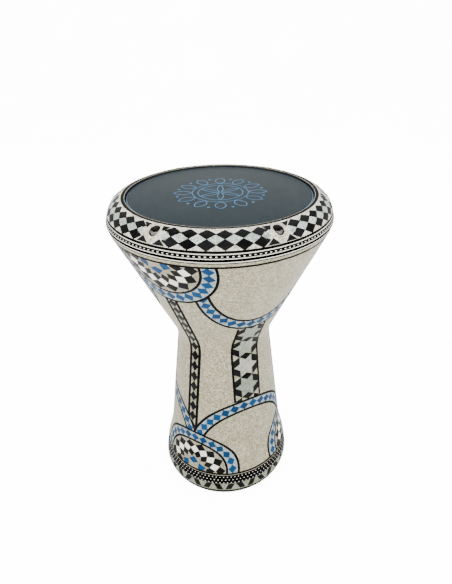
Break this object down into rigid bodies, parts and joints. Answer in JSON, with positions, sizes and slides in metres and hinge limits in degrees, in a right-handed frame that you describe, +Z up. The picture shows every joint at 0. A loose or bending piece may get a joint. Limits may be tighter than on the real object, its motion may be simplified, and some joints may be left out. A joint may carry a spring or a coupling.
{
  "type": "darbuka",
  "caption": "Goblet hand drum with an inlaid cast shell, a film head and a bevelled tuning ring drawn down by socket-head screws.",
  "frame": {"origin": "middle of the foot's underside, on the floor plane", "axes": "+Z up along the drum's axis, towards the head; -Y towards the front; +X to the right seen from the front"},
  "size_m": [0.284, 0.284, 0.428],
  "materials": {
    "cast_aluminium": "as cast, lightly brushed inside",
    "hoop_aluminium": "drawn, satin",
    "film": "satin polyester film, slate blue-grey",
    "pearl_inlay": "polished mother-of-pearl chips in resin, warm grey",
    "white_inlay": "polished light mother-of-pearl",
    "black_inlay": "polished black inlay",
    "blue_inlay": "polished blue-dyed mother-of-pearl",
    "washer_steel": "zinc plated",
    "chrome_screw": "chromed socket-head screw"
  },
  "bodies": {
    "drum": {"shell": "cast_aluminium", "drum_head": "film", "body_field": "pearl_inlay", "collar_line_band": "white_inlay", "collar_pearl_band": "pearl_inlay", "collar_line": "black_inlay", "foot_line": "black_inlay", "foot_dot_band": "black_inlay", "foot_chevron_band": "pearl_inlay", "foot_lower_line": "black_inlay", "foot_edge_band": "pearl_inlay", "bowl_medallions": "white_inlay", "foot_medallions": "white_inlay", "bowl_garlands": "blue_inlay", "foot_arches": "blue_inlay", "neck_star_bands": "pearl_inlay", "neck_lozenge_bands": "pearl_inlay"},
    "tuning_ring": {"tuning_ring": "cast_aluminium", "flesh_hoop": "hoop_aluminium", "screw_washers": "washer_steel", "rim_inner_edge": "white_inlay", "rim_inner_line": "black_inlay", "rim_lozenge_band": "pearl_inlay", "rim_line_band": "black_inlay", "rim_dot_band": "black_inlay", "rim_lower_edge": "white_inlay"},
    "screw_1": {"tuning_screw_1": "chrome_screw"},
    "screw_2": {"tuning_screw_2": "chrome_screw"},
    "screw_3": {"tuning_screw_3": "chrome_screw"},
    "screw_4": {"tuning_screw_4": "chrome_screw"},
    "screw_5": {"tuning_screw_5": "chrome_screw"},
    "screw_6": {"tuning_screw_6": "chrome_screw"}
  },
  "joints": [
    {"name": "ring_travel", "type": "slide", "parent": "drum", "child": "tuning_ring", "axis": [0, 0, 1], "range_m": [-0.0015, 0.0015]},
    {"name": "screw_turn_1", "type": "hinge", "parent": "tuning_ring", "child": "screw_1", "pos_m": [-0.06958, -0.10922, 0.4162], "axis": [0, 0, 1], "range_deg": [-541, 541]},
    {"name": "screw_turn_2", "type": "hinge", "parent": "tuning_ring", "child": "screw_2", "pos_m": [0.0598, -0.11487, 0.4162], "axis": [0, 0, 1], "range_deg": [-541, 541]},
    {"name": "screw_turn_3", "type": "hinge", "parent": "tuning_ring", "child": "screw_3", "pos_m": [0.12938, -0.00565, 0.4162], "axis": [0, 0, 1], "range_deg": [-541, 541]},
    {"name": "screw_turn_4", "type": "hinge", "parent": "tuning_ring", "child": "screw_4", "pos_m": [0.06958, 0.10922, 0.4162], "axis": [0, 0, 1], "range_deg": [-541, 541]},
    {"name": "screw_turn_5", "type": "hinge", "parent": "tuning_ring", "child": "screw_5", "pos_m": [-0.0598, 0.11487, 0.4162], "axis": [0, 0, 1], "range_deg": [-541, 541]},
    {"name": "screw_turn_6", "type": "hinge", "parent": "tuning_ring", "child": "screw_6", "pos_m": [-0.12938, 0.00565, 0.4162], "axis": [0, 0, 1], "range_deg": [-541, 541]}
  ],
  "couplings": [
    {"joint": "screw_turn_1", "follows": "ring_travel", "rad_per_m": 6283.2},
    {"joint": "screw_turn_2", "follows": "ring_travel", "rad_per_m": 6283.2},
    {"joint": "screw_turn_3", "follows": "ring_travel", "rad_per_m": 6283.2},
    {"joint": "screw_turn_4", "follows": "ring_travel", "rad_per_m": 6283.2},
    {"joint": "screw_turn_5", "follows": "ring_travel", "rad_per_m": 6283.2},
    {"joint": "screw_turn_6", "follows": "ring_travel", "rad_per_m": 6283.2}
  ]
}
